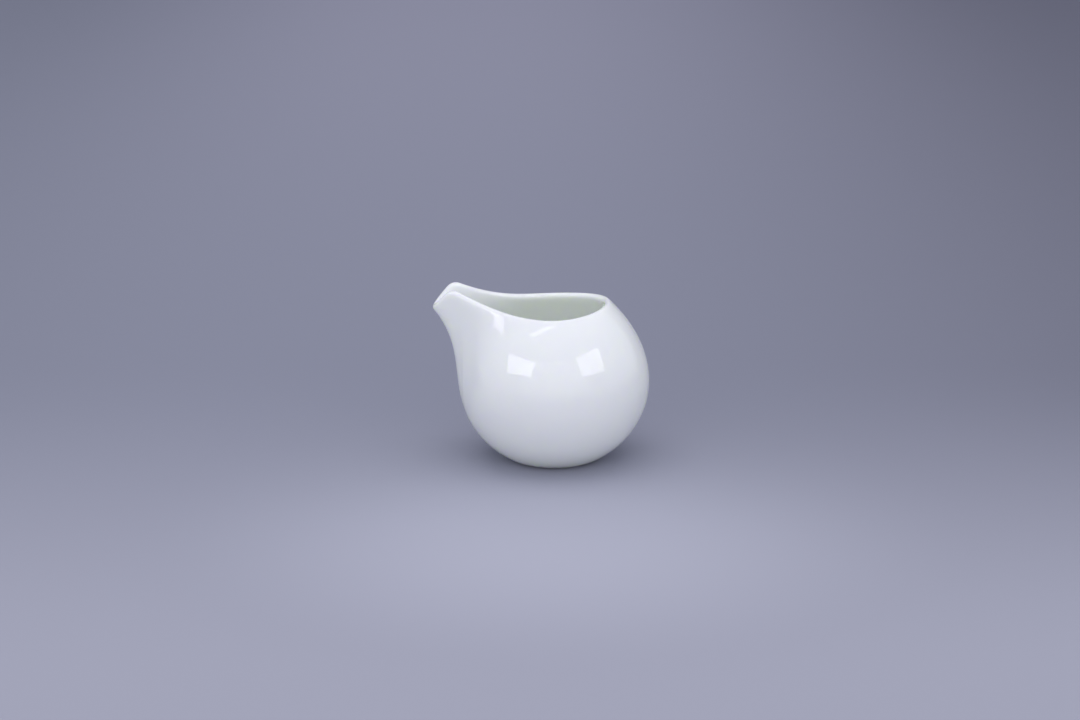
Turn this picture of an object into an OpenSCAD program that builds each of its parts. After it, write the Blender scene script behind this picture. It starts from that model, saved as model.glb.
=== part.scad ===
// Small bone china cream jug: a round body, a saddle-shaped mouth and a drawn-out pouring lip.
// It is cast in one piece. The origin is the middle of the foot ring, on the table, +Z is up
// and the lip points to -X. The two sides mirror each other across Y = 0.

/* [Body] */
// Greatest outside diameter of the round body
body_d = 75; // [68:0.5:84]
// Height at which the body is widest
belly_h = 31; // [28:0.5:34]
// Diameter where the body turns under onto its foot
base_d = 37.5; // [36:0.5:44]

/* [Walls] */
// Thickness of the wall, up to and over the rounded rim
wall = 2.7; // [2:0.1:3.2]
// Thickness of the floor at its middle
floor_t = 3.4; // [2.8:0.1:5]

/* [Foot] */
// Outside diameter of the foot ring
foot_d = 34; // [28:0.5:35]
// Width of the foot ring
foot_w = 2.6; // [1.8:0.1:4]
// Height of the groove between the body and the table, outside the foot ring
foot_h = 0.8; // [0.5:0.1:1.2]
// Depth of the recess inside the foot ring, at its middle
recess_h = 1.4; // [1.2:0.1:2]
// Radius of the foot ring's two lower edges
foot_round = 0.5; // [0.2:0.1:0.7]

/* [Mouth] */
// Outside diameter of the mouth's round part
mouth_d = 44; // [40:0.5:48]
// Height of the rim at the back
mouth_back_h = 63; // [61:0.5:66]
// Height of the rim at its lowest, at the two sides
mouth_low_h = 60.5; // [58:0.5:62]
// Inward lean of the wall from upright at the round part of the rim
mouth_lean = 46; // [40:1:52]
// Angle from the back at which the round part ends and the rim turns towards the lip
mouth_wrap = 97; // [90:1:105]

/* [Pouring lip] */
// Reach of the lip's tip from the body's axis
tip_reach = 47.2; // [44:0.2:51]
// Height of the lip's tip
tip_h = 60; // [58:0.2:62]
// Outside radius of the lip's keel at the tip
tip_round = 4.6; // [4:0.1:5.2]
// Outward lean of the keel from upright at the tip
keel_lean = 39; // [32:1:45]
// Reach of the lip's two upper corners from the body's axis
corner_reach = 40; // [37:0.2:42]
// Height of the two upper corners
corner_h = 68; // [66:0.2:71]
// Outside width across the two upper corners
lip_w = 15.5; // [14:0.5:18]
// Length over which each upper corner is rounded
corner_round = 2.2; // [1.6:0.1:2.8]
// Slope of the lip's front edges inwards to the tip, seen from the front
front_slope = 20; // [16:1:26]
// Fall of the rim behind the corners, seen from the side
rim_fall = 24; // [18:1:28]
// Spread of the rim behind the corners, seen from above
rim_flare = 18; // [12:1:22]

/* [Hidden] */
china = [0.93, 0.94, 0.93];

// Steps of the skin along half the rim, from the back to the tip, and from the foot over the rim
// and down to the middle of the floor
round_steps = 14;
flank_steps = 14;
corner_steps = 6;
front_steps = 12;
base_steps = 3;
lower_steps = 7;
upper_steps = 18;
lip_steps = 6;
inner_steps = 14;
bowl_steps = 7;

body_r = body_d / 2;
base_r = base_d / 2;
foot_r = foot_d / 2;
mouth_r = mouth_d / 2;
floor_z = recess_h + floor_t;

function unit(v) = v / norm(v);
function mix(a, b, t) = a + (b - a) * t;
function ease(t) = (1 - cos(180 * max(0, min(1, t)))) / 2;
function turn(p, a) = [p.x * cos(a), p.x * sin(a), p.z];
function mirrored(p) = [p.x, -p.y, p.z];
function cross_z(a, b) = a.x * b.y - a.y * b.x;
function bezier(p, t) =
    let (s = 1 - t)
    s * s * s * p[0] + 3 * s * s * t * p[1] + 3 * s * t * t * p[2] + t * t * t * p[3];
function bezier_way(p, t) =
    let (s = 1 - t)
    s * s * (p[1] - p[0]) + 2 * s * t * (p[2] - p[1]) + t * t * (p[3] - p[2]);

// Length of a curve's first handle that gives it the radius r where it starts, when its next
// handle ends at the distance h from the tangent there
function handle_for(r, h) = sqrt(2 / 3 * r * h);

// Lower body: part of a spheroid, from the base edge up to the join with the drawn upper body
lower_depth = (belly_h - foot_h) / sqrt(1 - pow(base_r / body_r, 2));
base_angle = acos(base_r / body_r);
join_angle = 30;
join = [body_r * cos(join_angle), 0, belly_h - lower_depth * sin(join_angle)];
join_up = unit([body_r * sin(join_angle), 0, lower_depth * cos(join_angle)]);
join_in = join - wall * [join_up.z, 0, -join_up.x];

// Outer edge of the rim on the +Y side: a round part, a flank, a rounded corner and a front edge
corner = [-corner_reach, lip_w / 2, corner_h];
tip = [-tip_reach, 0, tip_h];
back_way = unit([1, tan(rim_flare), -tan(rim_fall)]);
cut_way = unit([tip.x - corner.x, 0, tip.z - corner.z]);
front_way = [cos(front_slope) * cut_way.x, -sin(front_slope), cos(front_slope) * cut_way.z];
round_end = [mouth_r * cos(mouth_wrap), mouth_r * sin(mouth_wrap), mouth_low_h];
round_way = [-sin(mouth_wrap), cos(mouth_wrap), 0];
flank_end = corner + corner_round * back_way;
front_start = corner + corner_round * front_way;
flank_pull = 0.42;
corner_pull = 0.6;
front_pull = 0.32;
flank_handle = flank_end + flank_pull * norm(flank_end - round_end) * back_way;
front_handle = front_start + front_pull * norm(tip - front_start) * front_way;
flank = [
    round_end,
    round_end + handle_for(mouth_r, cross_z(round_way, flank_handle - round_end)) * round_way,
    flank_handle,
    flank_end
];
corner_curve = [
    flank_end,
    mix(flank_end, corner, corner_pull),
    mix(front_start, corner, corner_pull),
    front_start
];
front = [
    front_start,
    front_handle,
    tip + handle_for(tip_round, (tip - front_handle) * cut_way) * [0, 1, 0],
    tip
];
function mouth_round(t) = [
    mouth_r * cos(mouth_wrap * t),
    mouth_r * sin(mouth_wrap * t),
    mix(mouth_back_h, mouth_low_h, ease(t))
];
function steps(n) = [for (i = [0:n - 1]) i / n];
half_rim = concat(
    [for (t = steps(round_steps)) mouth_round(t)],
    [for (t = steps(flank_steps)) bezier(flank, t)],
    [for (t = steps(corner_steps)) bezier(corner_curve, t)],
    [for (t = steps(front_steps)) bezier(front, t)],
    [tip]
);
half_n = len(half_rim) - 1;
ring_n = 2 * half_n;

// Way of each rim point from the end of the round part to the tip, from 0 to 1
rim_length = [
    for (
        i = 0, d = 0;
        i <= half_n;
        i = i + 1,
        d = d + norm(half_rim[min(i, half_n)] - half_rim[i - 1])
    ) d
];
round_length = rim_length[round_steps];
lip_length = rim_length[half_n] - round_length;
lip_way = [for (d = rim_length) (d - round_length) / lip_length];

// Angle round the body from which the wall under a rim point rises. It is the rim's own angle
// where the mouth is round, and then runs smoothly on to the keel.
keel_spread = 60;
function rise_angle(j) =
    let (t = lip_way[j], start = lip_length / mouth_r * 180 / PI)
    t <= 0 ? mouth_wrap * j / round_steps
    : mouth_wrap + start * t * pow(1 - t, 2) + (180 - mouth_wrap) * t * t * (3 - 2 * t)
        - keel_spread * t * t * (1 - t);

// Wall under a rim point, as a curve from the join up to the rim. Its handles, at the back and at
// the keel, are shares of the back wall's chord. The pull of the lip sets in at the side.
back_shares = [0.40, 0.38];
keel_shares = [0.36, 0.42];
back_chord = norm(half_rim[0] - join);
pull_start = -0.05;
keel_way = [-sin(keel_lean), 0, cos(keel_lean)];
function mouth_way(p) = unit([-p.x, -p.y, norm([p.x, p.y]) / tan(mouth_lean)]);
function meridian(j) =
    let (
        top = half_rim[j],
        angle = rise_angle(j),
        low = turn(join, angle),
        pull = ease((lip_way[j] - pull_start) / (1 - pull_start)),
        handles = mix(back_shares, keel_shares, pull) * back_chord,
        over = unit(mix(mouth_way(top), keel_way, pull))
    )
    [low, low + handles[0] * turn(join_up, angle), top - handles[1] * over, top];
half_meridians = [for (j = [0:half_n]) meridian(j)];
meridians = concat(
    half_meridians,
    [for (j = [half_n - 1:-1:1]) [for (p = half_meridians[j]) mirrored(p)]]
);
angles = [for (m = meridians) atan2(m[0].y, m[0].x)];

// Direction along a ring at its point b, from that point and its two neighbours
function ring_way(a, b, c) =
    let (before = b - a, after = c - b, share = norm(before) / norm(after))
    before / share + after * share;
function along(k, t) = ring_way(
    bezier(meridians[(k + ring_n - 1) % ring_n], t),
    bezier(meridians[k], t),
    bezier(meridians[(k + 1) % ring_n], t)
);
function outward(k, t) = unit(cross(along(k, t), bezier_way(meridians[k], t)));

// Rings of the skin
function level(p) = [for (a = angles) turn(p, a)];
function outer_ring(t) = [for (m = meridians) bezier(m, t)];
function inner_ring(t) = [for (k = [0:ring_n - 1]) bezier(meridians[k], t) - wall * outward(k, t)];
function lip_ring(a) = [
    for (k = [0:ring_n - 1])
    let (out = outward(k, 1), up = unit(cross(out, along(k, 1))))
    meridians[k][3] + wall / 2 * ((cos(a) - 1) * out + sin(a) * up)
];

// Inside of the bowl, from the join down to the middle of the floor
bowl_pull = 0.9;
floor_pull = 0.55;
bowl = [
    join_in,
    join_in - bowl_pull * (join_in.z - floor_z) / join_up.z * join_up,
    [floor_pull * join_in.x, 0, floor_z],
    [0, 0, floor_z]
];
// Step in from the base edge to the outermost ring of the underside
base_turn = 0.5;
base_rings = [
    for (i = [1:base_steps])
    let (t = i / base_steps)
    level([t * (base_r - base_turn), 0, mix(recess_h, foot_h, t * t)])
];
lower_rings = [
    for (t = steps(lower_steps))
    let (a = mix(base_angle, join_angle, t))
    level([body_r * cos(a), 0, belly_h - lower_depth * sin(a)])
];
upper_rings = [for (t = steps(upper_steps)) outer_ring(t)];
lip_rings = [for (t = steps(lip_steps)) lip_ring(180 * t)];
inner_rings = [for (t = steps(inner_steps)) inner_ring(1 - t)];
bowl_rings = [for (t = steps(bowl_steps)) level(bezier(bowl, t))];

// Closed skin over a stack of rings, from a middle point before the first to one after the last.
// The diagonals of its two halves mirror each other.
module skin(rings, start, end) {
    n = len(rings[0]);
    m = len(rings);
    points = concat([for (ring = rings) each ring], [start, end]);
    sides = [
        for (i = [0:m - 2]) for (k = [0:n - 1])
        let (a = i * n + k, b = i * n + (k + 1) % n, c = b + n, d = a + n)
        each (k < n / 2 ? [[a, c, b], [a, d, c]] : [[a, d, b], [b, d, c]])
    ];
    start_fan = [for (k = [0:n - 1]) [m * n, k, (k + 1) % n]];
    end_fan = [for (k = [0:n - 1]) [m * n + 1, (m - 1) * n + (k + 1) % n, (m - 1) * n + k]];
    polyhedron(points, concat(sides, start_fan, end_fan));
}

module shell() {
    rings = concat(base_rings, lower_rings, upper_rings, lip_rings, inner_rings, bowl_rings);
    skin(rings, [0, 0, recess_h], [0, 0, floor_z]);
}

module foot_ring() {
    ring_top = recess_h + floor_t / 3;
    rotate_extrude($fn = 96) translate([foot_r - foot_w, 0]) {
        translate([foot_round, 0]) square([foot_w - 2 * foot_round, ring_top]);
        translate([0, foot_round]) square([foot_w, ring_top - foot_round]);
        for (x = [foot_round, foot_w - foot_round]) translate([x, foot_round]) circle(foot_round, $fn = 32);
    }
}

module jug() {
    color(china) union() {
        shell();
        foot_ring();
    }
}

jug();
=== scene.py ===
"""Bone china cream jug, glazed white, on a pale studio sheet between two softboxes."""

import math

import bmesh
import bpy
from mathutils import Matrix, Vector


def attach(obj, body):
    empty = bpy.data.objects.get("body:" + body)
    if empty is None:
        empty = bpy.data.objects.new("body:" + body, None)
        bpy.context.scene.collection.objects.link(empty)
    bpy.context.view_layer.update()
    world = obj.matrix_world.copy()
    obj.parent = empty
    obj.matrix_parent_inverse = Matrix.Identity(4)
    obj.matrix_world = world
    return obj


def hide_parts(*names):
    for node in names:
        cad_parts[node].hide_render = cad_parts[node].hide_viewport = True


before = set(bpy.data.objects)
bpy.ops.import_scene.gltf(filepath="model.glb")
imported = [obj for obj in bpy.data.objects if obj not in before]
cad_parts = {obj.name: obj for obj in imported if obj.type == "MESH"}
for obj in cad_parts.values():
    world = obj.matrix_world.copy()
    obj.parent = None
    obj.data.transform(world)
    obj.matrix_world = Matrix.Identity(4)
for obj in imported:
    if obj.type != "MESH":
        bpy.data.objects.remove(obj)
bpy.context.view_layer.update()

# Camera. It looks at the widest part of the body from a little above.
WIDEST_Z = 0.031
CAMERA_RISE = math.radians(16.5)
CAMERA_DISTANCE = 1.2
CAMERA_CLIP = (0.05, 20)
SENSOR = 36.0
PHOTO_WIDTH = 1080
PHOTO_HEIGHT = 720
FOCAL_PX = 3053.0
WIDEST_PX = (554.2, 380.0)

# Skin. Vertices this near are one, and triangles that lie this flat and square become quads.
MERGE_DISTANCE = 2e-6
QUAD_FACE_ANGLE = math.radians(40)
QUAD_SHAPE_ANGLE = math.radians(80)

# Foot, turned finely under the body. Each corner of its outline is (radius, height, rounding),
# from the body's edge in over the groove and the ring to the recess, which bulges up to its middle.
FOOT_CUT_Z = 0.003
UNDER_BODY = (0.02020, 0.00162)
BASE_RADIUS = 0.01875
BASE_ROUND = 0.0006
GROOVE_Z = 0.0008
GROOVE_ROUND = 0.0002
RING_OUTER = 0.0170
RING_INNER = 0.0144
RING_ROUND = 0.0005
RECESS_Z = 0.0014
RECESS_EDGE_Z = 0.00103
RECESS_ROUND = 0.0003
FOOT_CORNERS = [
    (*UNDER_BODY, 0.0),
    (BASE_RADIUS, GROOVE_Z, BASE_ROUND),
    (RING_OUTER, GROOVE_Z, GROOVE_ROUND),
    (RING_OUTER, 0.0, RING_ROUND),
    (RING_INNER, 0.0, RING_ROUND),
    (RING_INNER, RECESS_EDGE_Z, RECESS_ROUND),
    (0.0, RECESS_EDGE_Z, 0.0),
]
RECESS_RINGS = 5
# Radius of the small face that closes the recess, as a share of the step between its rings
RECESS_MIDDLE = 0.3

# China and its glaze. The glaze pools at the groove and is wiped off where the ring rests.
CHINA = ((0.901, 0.945, 0.888), (0.911, 0.950, 0.903))
POOLED_GLAZE = (0.880, 0.910, 0.850)
POOLED_Z = (0.0005, 0.0016)
BARE_CLAY = ((0.74, 0.72, 0.67), (0.82, 0.80, 0.76))
BARE_Z = (0.00004, 0.00012)
GLAZE_ROUGHNESS = (0.012, 0.024)
BARE_ROUGHNESS = 0.62
GLAZE_IOR = 1.52
SUBSURFACE_RADIUS = (1.0, 1.1, 0.8)
SUBSURFACE_SCALE = 0.005

# Glaze and clay noise: scales, the part of its range that is used, and bumps as (height, strength)
CLOUD_SCALE = 28.0
UNEVEN_GLOSS_SCALE = 60.0
CLAY_GRAIN_SCALE = 5200.0
RIPPLE_SCALE = 85.0
SKIN_SCALE = 900.0
NOISE_RANGE = (0.3, 0.7)
CLAY_NOISE_RANGE = (0.35, 0.65)
RIPPLE_BUMP = (0.0004, 0.015)
SKIN_BUMP = (0.00002, 0.01)

# Studio sheet: a floor that turns up into a backdrop
SHEET_FRONT_Y = -3.0
SHEET_TURN_Y = 1.6
SHEET_TURN_RADIUS = 0.8
SHEET_TURN_STEPS = 24
SHEET_RISE = 1.6
SHEET_HALF_WIDTH = 3.0

# Paper tones with painted light and shade, and the ranges over which they pass into each other: a
# painted pool of light on the floor before the jug, painted shade that darkens the paper behind it
# and eases up the backdrop, and painted shade towards the left and right edges
PAPER_PAINTED_POOL = (0.494, 0.490, 0.587)
PAPER_FRONT = (0.370, 0.368, 0.450)
PAPER_BEHIND_PAINTED_SHADE = (0.252, 0.257, 0.329)
PAPER_FAR = (0.333, 0.327, 0.414)
PAPER_LEFT_PAINTED_SHADE = (0.230, 0.235, 0.300)
PAPER_RIGHT_PAINTED_SHADE = (0.163, 0.163, 0.214)
PAINTED_POOL_AT = (0, -0.07, 0)
PAINTED_POOL_FADE = (0.02, 0.16)
FRONT_TO_BEHIND_Y = (-0.24, 0.14)
BEHIND_TO_FAR_Y = (0.10, 1.30)
LEFT_FADE_X = (-0.40, -0.10)
RIGHT_FADE_X = (-0.05, 0.40)
PAPER_ROUGHNESS = 0.85
PAPER_SPECULAR = 0.2

# Soft lights as (azimuth, elevation, roll, distance, width, height, power in watts)
LIGHTS = {
    "softbox_left": (-51.2, 32.1, 9.4, 0.90, 0.50, 0.24, 1.12),
    "softbox_right": (51.8, 33.5, -6.0, 0.90, 0.48, 0.34, 1.32),
    "overhead": (180.0, 86.0, 0.0, 1.47, 1.60, 1.20, 6.8),
    "front_fill": (0.0, 24.0, 0.0, 2.20, 4.00, 1.70, 12.5),
    "strip": (-35.6, 67.6, 42.6, 1.082, 0.51, 0.055, 0.17),
}
GLOSS_ONLY = ("softbox_left", "softbox_right", "strip")
UNSEEN_IN_GLOSS = ("overhead",)
LIGHT_CENTRE = Vector((0, 0, 0.035))
ROOM_COLOUR = (0.88, 0.92, 1.0, 1)
ROOM_STRENGTH = 0.82

# Sockets of Blender's Mix node by data type: input A, input B and result
MIX_SOCKETS = {"FLOAT": (2, 3, 0), "RGBA": (6, 7, 2)}


def link(thing):
    """Puts a new object in the scene."""
    bpy.context.scene.collection.objects.link(thing)
    return thing


def make_mesh(name, bm):
    """A finished bmesh as an object at the origin, smooth shaded."""
    mesh = bpy.data.meshes.new(name)
    for face in bm.faces:
        face.smooth = True
    bm.to_mesh(mesh)
    bm.free()
    return link(bpy.data.objects.new(name, mesh))


def direction(azimuth, elevation):
    """Way out from the jug. Azimuth 0 is towards the camera's side, 90 to the jug's back."""
    a, e = math.radians(azimuth), math.radians(elevation)
    return Vector((math.sin(a) * math.cos(e), -math.cos(a) * math.cos(e), math.sin(e)))


def make_camera():
    """Camera at the photograph's angle, turned so that the widest part falls where it is there."""
    widest = Vector((0, 0, WIDEST_Z))
    back = Vector((0, -math.cos(CAMERA_RISE), math.sin(CAMERA_RISE)))
    up = Vector((0, math.sin(CAMERA_RISE), math.cos(CAMERA_RISE)))
    px = CAMERA_DISTANCE / FOCAL_PX
    right_shift = (PHOTO_WIDTH / 2 - WIDEST_PX[0]) * px
    up_shift = (WIDEST_PX[1] - PHOTO_HEIGHT / 2) * px
    aim = widest + Vector((right_shift, 0, 0)) + up_shift * up
    data = bpy.data.cameras.new("camera")
    data.sensor_width = SENSOR
    data.lens = SENSOR * FOCAL_PX / PHOTO_WIDTH
    data.clip_start, data.clip_end = CAMERA_CLIP
    camera = link(bpy.data.objects.new("camera", data))
    camera.location = widest + CAMERA_DISTANCE * back
    camera.rotation_mode = "QUATERNION"
    camera.rotation_quaternion = (aim - camera.location).to_track_quat("-Z", "Y")
    bpy.context.scene.camera = camera


def make_light(name, azimuth, elevation, roll, distance, width, height, power):
    """Rectangular soft light that faces the jug. A gloss-only one shows in the glaze alone."""
    data = bpy.data.lights.new(name, "AREA")
    data.shape = "RECTANGLE"
    data.size, data.size_y = width, height
    data.energy = power
    lamp = link(bpy.data.objects.new(name, data))
    way = direction(azimuth, elevation)
    lamp.location = LIGHT_CENTRE + distance * way
    lamp.rotation_mode = "QUATERNION"
    turn = Matrix.Rotation(math.radians(roll), 4, way).to_quaternion()
    lamp.rotation_quaternion = turn @ (-way).to_track_quat("-Z", "Y")
    lamp.visible_diffuse = name not in GLOSS_ONLY
    lamp.visible_glossy = name not in UNSEEN_IN_GLOSS


class Graph:
    """Short way to write a material's nodes."""

    def __init__(self, name):
        self.material = bpy.data.materials.new(name)
        self.material.use_nodes = True
        self.tree = self.material.node_tree
        self.tree.nodes.clear()

    def add(self, kind, settings=None, **inputs):
        """New node. An input's name has underscores for spaces."""
        made = self.tree.nodes.new(kind)
        for key, value in (settings or {}).items():
            setattr(made, key, value)
        for key, value in inputs.items():
            self.feed(made, key.replace("_", " "), value)
        return made

    def feed(self, made, key, value):
        """Links an input to another node's output, or sets it. A colour is given without alpha."""
        socket = made.inputs[key]
        if isinstance(value, bpy.types.NodeSocket):
            self.tree.links.new(value, socket)
        elif socket.type == "RGBA":
            socket.default_value = (*value, 1)
        else:
            socket.default_value = value

    def ramp(self, value, low, high, colours):
        """Colour that goes from the first to the second of two as a value goes from low to high."""
        made = self.add("ShaderNodeValToRGB", Fac=value)
        for element, place, colour in zip(made.color_ramp.elements, (low, high), colours):
            element.position = place
            element.color = (*colour, 1)
        return made.outputs["Color"]

    def span(self, value, low, high, to_low=0.0, to_high=1.0):
        """Value moved smoothly from one range to another."""
        made = self.add(
            "ShaderNodeMapRange",
            {"interpolation_type": "SMOOTHSTEP"},
            Value=value,
            From_Min=low,
            From_Max=high,
            To_Min=to_low,
            To_Max=to_high,
        )
        return made.outputs["Result"]

    def mix(self, share, a, b, data_type="RGBA"):
        """Mix by a share of two colours, or of two numbers with data type FLOAT."""
        first, second, result = MIX_SOCKETS[data_type]
        made = self.add("ShaderNodeMix", {"data_type": data_type})
        self.feed(made, 0, share)
        self.feed(made, first, a)
        self.feed(made, second, b)
        return made.outputs[result]

    def noise(self, place, scale, detail, roughness=0.5):
        """Soft noise over a place."""
        made = self.add(
            "ShaderNodeTexNoise", Vector=place, Scale=scale, Detail=detail, Roughness=roughness
        )
        return made.outputs["Fac"]

    def bump(self, height, distance, strength, under=None):
        """Bumped normal from a height, over another bump if there is one under it."""
        made = self.add("ShaderNodeBump", Height=height, Distance=distance, Strength=strength)
        if under is not None:
            self.feed(made, "Normal", under)
        return made.outputs["Normal"]

    def surface(self, shader):
        """The finished material."""
        out = self.tree.nodes.new("ShaderNodeOutputMaterial")
        self.tree.links.new(shader.outputs["BSDF"], out.inputs["Surface"])
        return self.material


def glazed_china():
    """White bone china under a clear gloss glaze, bare and matt where the foot ring rests."""
    g = Graph("glazed_bone_china")
    place = g.add("ShaderNodeTexCoord").outputs["Object"]
    height = g.add("ShaderNodeSeparateXYZ", Vector=place).outputs["Z"]

    # Body colour, a faint green-white, a touch deeper where the glaze pools
    china = g.ramp(g.noise(place, CLOUD_SCALE, detail=3.0), *NOISE_RANGE, CHINA)
    glazed = g.mix(g.span(height, *POOLED_Z, 1.0, 0.0), china, POOLED_GLAZE)
    grain = g.noise(place, CLAY_GRAIN_SCALE, detail=2.0, roughness=0.6)
    bare_clay = g.ramp(grain, *CLAY_NOISE_RANGE, BARE_CLAY)
    bare = g.span(height, *BARE_Z, 1.0, 0.0)
    colour = g.mix(bare, glazed, bare_clay)

    # Roughness: glossy glaze with a little unevenness, matt on the bare ring
    uneven = g.noise(place, UNEVEN_GLOSS_SCALE, detail=3.0)
    gloss = g.span(uneven, *NOISE_RANGE, *GLAZE_ROUGHNESS)
    rough = g.mix(bare, gloss, BARE_ROUGHNESS, "FLOAT")

    # Glaze surface: slow ripples of the melted glaze and a fine skin over them
    ripple = g.bump(g.noise(place, RIPPLE_SCALE, detail=1.0), *RIPPLE_BUMP)
    skin = g.bump(g.noise(place, SKIN_SCALE, detail=1.0), *SKIN_BUMP, ripple)

    shader = g.add(
        "ShaderNodeBsdfPrincipled",
        Base_Color=colour,
        Roughness=rough,
        Normal=skin,
        IOR=GLAZE_IOR,
        Subsurface_Weight=1.0,
        Subsurface_Radius=SUBSURFACE_RADIUS,
        Subsurface_Scale=SUBSURFACE_SCALE,
    )
    return g.surface(shader)


def sheet_paper():
    """Pale lavender-grey studio paper with painted light and shade: palest in a painted pool of
    light before the jug, darker with painted shade behind it and towards the left and right.
    """
    g = Graph("studio_paper")
    place = g.add("ShaderNodeTexCoord").outputs["Object"]
    axes = g.add("ShaderNodeSeparateXYZ", Vector=place).outputs

    # Painted shade: the paper is darkest just behind the jug, lightens again up the backdrop, and
    # darkens towards the left and right edges
    behind = g.mix(g.span(axes["Y"], *BEHIND_TO_FAR_Y), PAPER_BEHIND_PAINTED_SHADE, PAPER_FAR)
    behind = g.mix(g.span(axes["X"], *LEFT_FADE_X), PAPER_LEFT_PAINTED_SHADE, behind)
    behind = g.mix(g.span(axes["X"], *RIGHT_FADE_X), behind, PAPER_RIGHT_PAINTED_SHADE)

    # Painted pool of light: the floor is palest around a spot just before the jug and fades away
    # from it
    off_painted_pool = g.add("ShaderNodeVectorMath", {"operation": "DISTANCE"})
    g.feed(off_painted_pool, 0, place)
    g.feed(off_painted_pool, 1, PAINTED_POOL_AT)
    away = g.span(off_painted_pool.outputs["Value"], *PAINTED_POOL_FADE)
    before = g.mix(away, PAPER_PAINTED_POOL, PAPER_FRONT)

    # Painted shade: the floor darkens from the front to behind the jug
    tone = g.mix(g.span(axes["Y"], *FRONT_TO_BEHIND_Y), before, behind)
    shader = g.add(
        "ShaderNodeBsdfPrincipled",
        Base_Color=tone,
        Roughness=PAPER_ROUGHNESS,
        Specular_IOR_Level=PAPER_SPECULAR,
    )
    return g.surface(shader)


def rounded(corners, steps=4):
    """Path through (x, z, rounding) corners, with a smooth curve at each that has rounding."""
    path = []
    for i, (x, z, radius) in enumerate(corners):
        corner = Vector((x, z))
        if radius == 0:
            path.append(corner)
            continue
        before, after = (
            corner.lerp(near, radius / (near - corner).length)
            for near in (Vector(corners[i - 1][:2]), Vector(corners[i + 1][:2]))
        )
        for k in range(steps + 1):
            t = k / steps
            path.append(before.lerp(corner, t).lerp(corner.lerp(after, t), t))
    return path


def foot_path():
    """Outline of the foot from the lower body down, over the ring and in to the recess's middle."""
    path = rounded(FOOT_CORNERS)[:-1]
    edge = path[-1].x
    for k in range(1, RECESS_RINGS + 1):
        radius = edge * (1 - k / (RECESS_RINGS + RECESS_MIDDLE))
        rise = (RECESS_Z - RECESS_EDGE_Z) * (1 - (radius / edge) ** 2)
        path.append(Vector((radius, RECESS_EDGE_Z + rise)))
    return path


def make_jug(cast):
    """Smooth skin over the cast jug: its own mesh in quads, with the foot turned finely."""
    bm = bmesh.new()
    bm.from_mesh(cast.data)
    bmesh.ops.remove_doubles(bm, verts=bm.verts, dist=MERGE_DISTANCE)
    low = [f for f in bm.faces if max(v.co.z for v in f.verts) < FOOT_CUT_Z]
    bmesh.ops.delete(bm, geom=low, context="FACES")
    bmesh.ops.join_triangles(
        bm,
        faces=bm.faces,
        angle_face_threshold=QUAD_FACE_ANGLE,
        angle_shape_threshold=QUAD_SHAPE_ANGLE,
    )
    loop = [e for e in bm.edges if e.is_boundary]
    radius = Vector(loop[0].verts[0].co.xy).length
    for next_radius, next_z in foot_path():
        made = bmesh.ops.extrude_edge_only(bm, edges=loop)["geom"]
        ring = [v for v in made if isinstance(v, bmesh.types.BMVert)]
        loop = [e for e in made if isinstance(e, bmesh.types.BMEdge) and e.is_boundary]
        share = next_radius / radius
        bmesh.ops.scale(bm, vec=(share, share, 1), verts=ring)
        bmesh.ops.translate(bm, vec=(0, 0, next_z - ring[0].co.z), verts=ring)
        radius = next_radius
    bmesh.ops.contextual_create(bm, geom=loop)
    bmesh.ops.recalc_face_normals(bm, faces=bm.faces)
    jug = make_mesh("glazed_jug", bm)
    smooth = jug.modifiers.new("smooth", "SUBSURF")
    smooth.levels = smooth.render_levels = 1
    return jug


def make_sheet():
    """Studio sheet: a floor that sweeps up behind into a backdrop."""
    bm = bmesh.new()
    front = bm.verts.new((-SHEET_HALF_WIDTH, SHEET_FRONT_Y, 0))
    turn = bm.verts.new((-SHEET_HALF_WIDTH, SHEET_TURN_Y, 0))
    bm.edges.new((front, turn))
    bmesh.ops.spin(
        bm,
        geom=[turn],
        cent=(-SHEET_HALF_WIDTH, SHEET_TURN_Y, SHEET_TURN_RADIUS),
        axis=(1, 0, 0),
        angle=math.radians(90),
        steps=SHEET_TURN_STEPS,
        use_merge=False,
    )
    end = max(bm.verts, key=lambda v: v.co.z)
    top = bmesh.ops.extrude_vert_indiv(bm, verts=[end])["verts"]
    bmesh.ops.translate(bm, vec=(0, 0, SHEET_RISE), verts=top)
    made = bmesh.ops.extrude_edge_only(bm, edges=bm.edges)["geom"]
    moved = [v for v in made if isinstance(v, bmesh.types.BMVert)]
    bmesh.ops.translate(bm, vec=(2 * SHEET_HALF_WIDTH, 0, 0), verts=moved)
    bmesh.ops.recalc_face_normals(bm, faces=bm.faces)
    if sum(f.normal.z for f in bm.faces) < 0:
        bmesh.ops.reverse_faces(bm, faces=bm.faces)
    return make_mesh("studio_sheet", bm)


def make_world():
    """Dim, slightly cool room light."""
    world = bpy.data.worlds.new("room")
    bpy.context.scene.world = world
    world.use_nodes = True
    background = world.node_tree.nodes["Background"]
    background.inputs["Color"].default_value = ROOM_COLOUR
    background.inputs["Strength"].default_value = ROOM_STRENGTH


make_camera()

jug = make_jug(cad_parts["jug"])
jug.data.materials.append(glazed_china())
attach(jug, "root")
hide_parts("jug")

sheet = make_sheet()
sheet.data.materials.append(sheet_paper())

for name, settings in LIGHTS.items():
    make_light(name, *settings)
make_world()

bpy.context.scene.view_settings.view_transform = "Standard"
